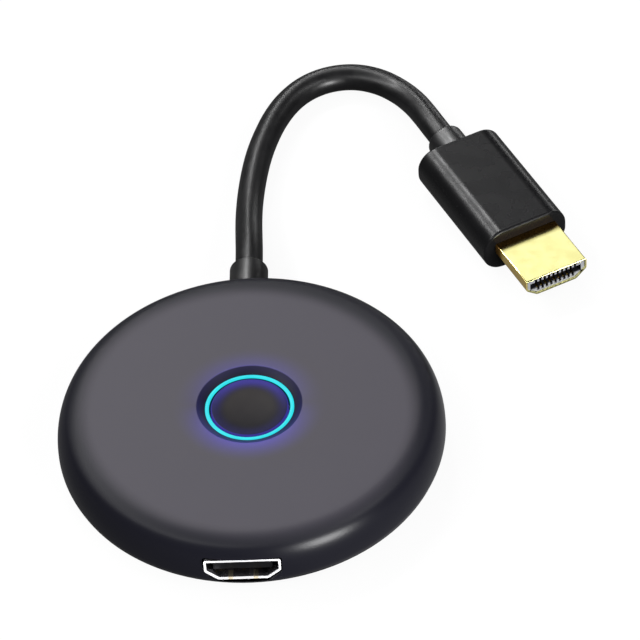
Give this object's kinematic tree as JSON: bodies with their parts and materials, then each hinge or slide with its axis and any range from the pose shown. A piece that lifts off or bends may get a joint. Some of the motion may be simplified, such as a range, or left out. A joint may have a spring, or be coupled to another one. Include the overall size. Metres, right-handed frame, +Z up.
{
  "type": "wireless display adapter",
  "caption": "Round puck that shows a wireless picture on a screen: push button in a lit ring, video socket, power inlet and a short captive cable with a gold video plug.",
  "frame": {"origin": "centre of the round case, on the surface that its rubber feet stand on", "axes": "+Z up through the button, -Y out of the side with the video socket, +Y along the cable as it leaves the case"},
  "size_m": [0.1053, 0.1449, 0.0123],
  "materials": {
    "case_plastic": "fine satin texture, flat top paler than the polished edge",
    "base_plastic": "satin",
    "foot_rubber": "matt",
    "screw_steel": "satin",
    "button_plastic": "satin",
    "ring_light": "clear light guide, lit cyan",
    "white_plastic": "satin white",
    "lamp": "clear resin over a small white frame",
    "black_insulation": "satin",
    "tinned_metal": "tinned",
    "spring_steel": "polished",
    "plunger_plastic": "satin",
    "board": "green solder mask",
    "board_dark": "blue-green solder mask",
    "chip": "matt moulding",
    "pad_silicone": "soft silicone",
    "heat_sink_metal": "anodised",
    "coil_ferrite": "ferrite",
    "can_metal": "polished",
    "antenna_film": "amber film over copper",
    "lead_black": "smooth jacket",
    "gold_contact": "gold plate",
    "socket_metal": "bright nickel plate",
    "cable_moulding": "satin",
    "cable_jacket": "smooth satin jacket",
    "clamp_plastic": "satin",
    "wire_red": "smooth jacket",
    "header_plastic": "natural nylon",
    "ferrule_metal": "tinned",
    "plug_moulding": "satin",
    "plug_gold": "bright gold plate",
    "grey_insulation": "satin"
  },
  "bodies": {
    "case": {"top_shell": "case_plastic", "bottom_shell": "base_plastic", "rubber_feet": "foot_rubber", "case_screws": "screw_steel", "light_ring": "ring_light", "light_baffle": "white_plastic", "ring_leds": "lamp", "switch_body": "black_insulation", "switch_terminals": "tinned_metal", "switch_dome": "spring_steel", "main_board": "board", "processor": "chip", "thermal_pad": "pad_silicone", "heat_sink": "heat_sink_metal", "memory_chips": "chip", "flash_chip": "chip", "video_chip": "chip", "radio_board": "board_dark", "radio_shield": "tinned_metal", "crystals": "tinned_metal", "power_coils": "coil_ferrite", "capacitors": "can_metal", "chip_resistors": "chip", "antenna_film": "antenna_film", "antenna_lead": "lead_black", "antenna_connector": "gold_contact", "socket_shell": "socket_metal", "socket_tongue": "black_insulation", "socket_contacts": "gold_contact", "inlet_shell": "socket_metal", "inlet_tongue": "black_insulation", "cable_gland": "cable_moulding", "cable_end": "cable_jacket", "cable_clamp": "clamp_plastic", "clamp_screws": "screw_steel", "cable_wires": "wire_red", "wire_header": "header_plastic", "cord": "cable_jacket", "plug_collar": "cable_moulding", "plug_cable_end": "cable_jacket", "plug_wires": "wire_red", "plug_ferrule": "ferrule_metal", "plug_grip": "plug_moulding", "plug_shell": "plug_gold", "plug_insulator": "grey_insulation", "plug_contacts": "gold_contact"},
    "button": {"button_cap": "button_plastic", "switch_plunger": "plunger_plastic"}
  },
  "joints": [
    {"name": "button_press", "type": "slide", "parent": "case", "child": "button", "axis": [0, 0, -1], "range_m": [0, 0.0004], "stiffness_N_per_m": 2500, "springref_m": -0.0002, "deforming": ["switch_dome"]}
  ]
}
